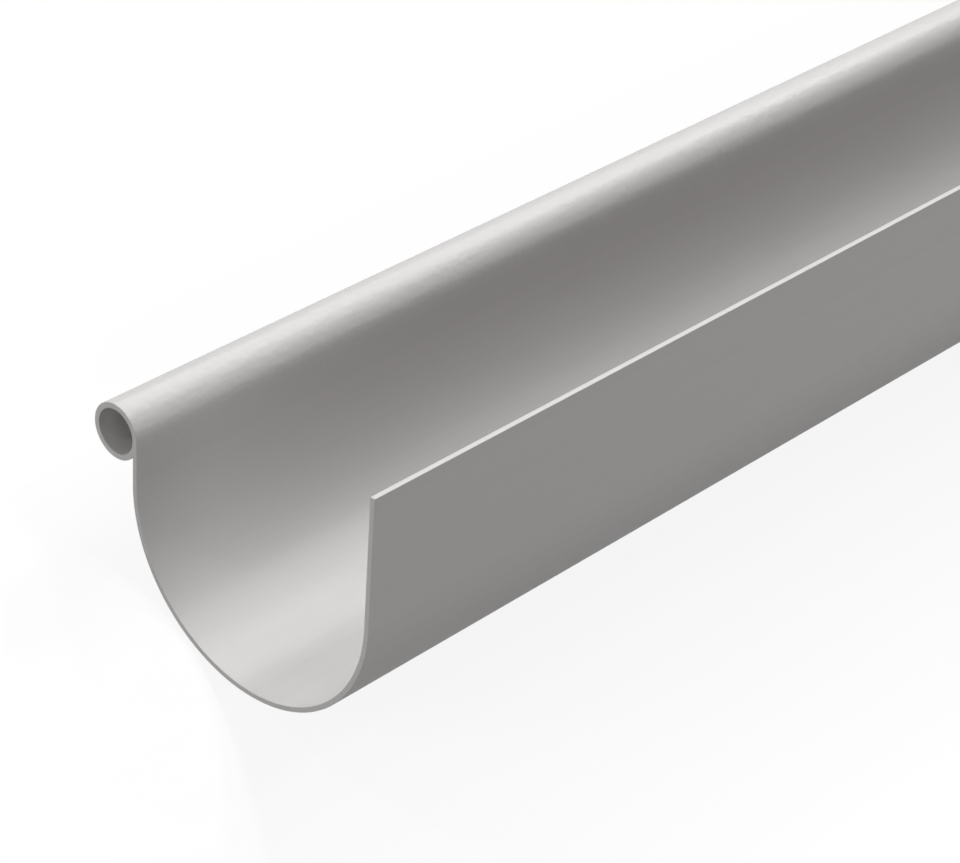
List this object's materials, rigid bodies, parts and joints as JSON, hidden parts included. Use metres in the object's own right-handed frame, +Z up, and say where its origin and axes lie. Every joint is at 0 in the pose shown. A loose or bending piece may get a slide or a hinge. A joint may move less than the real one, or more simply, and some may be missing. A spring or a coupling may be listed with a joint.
{
  "type": "half-round rain gutter length",
  "caption": "Straight length of half-round rain gutter: deep round-bottomed channel with a hollow rolled bead along the low edge and a plain, taller back edge; ends cut square.",
  "frame": {"origin": "middle of the length, under the centre of the bounding box, at floor level", "axes": "+Y along the length, parallel to the channel's axis; +Z up; -X is the side with the bead. The channel lies open side up, rolled 31.1 degrees about Y towards the bead, as a loose length comes to rest"},
  "size_m": [0.1206, 2, 0.1188],
  "materials": {
    "pvc_grey": "smooth satin, light warm grey, the same colour all through"
  },
  "bodies": {
    "root": {"gutter": "pvc_grey"}
  },
  "joints": []
}
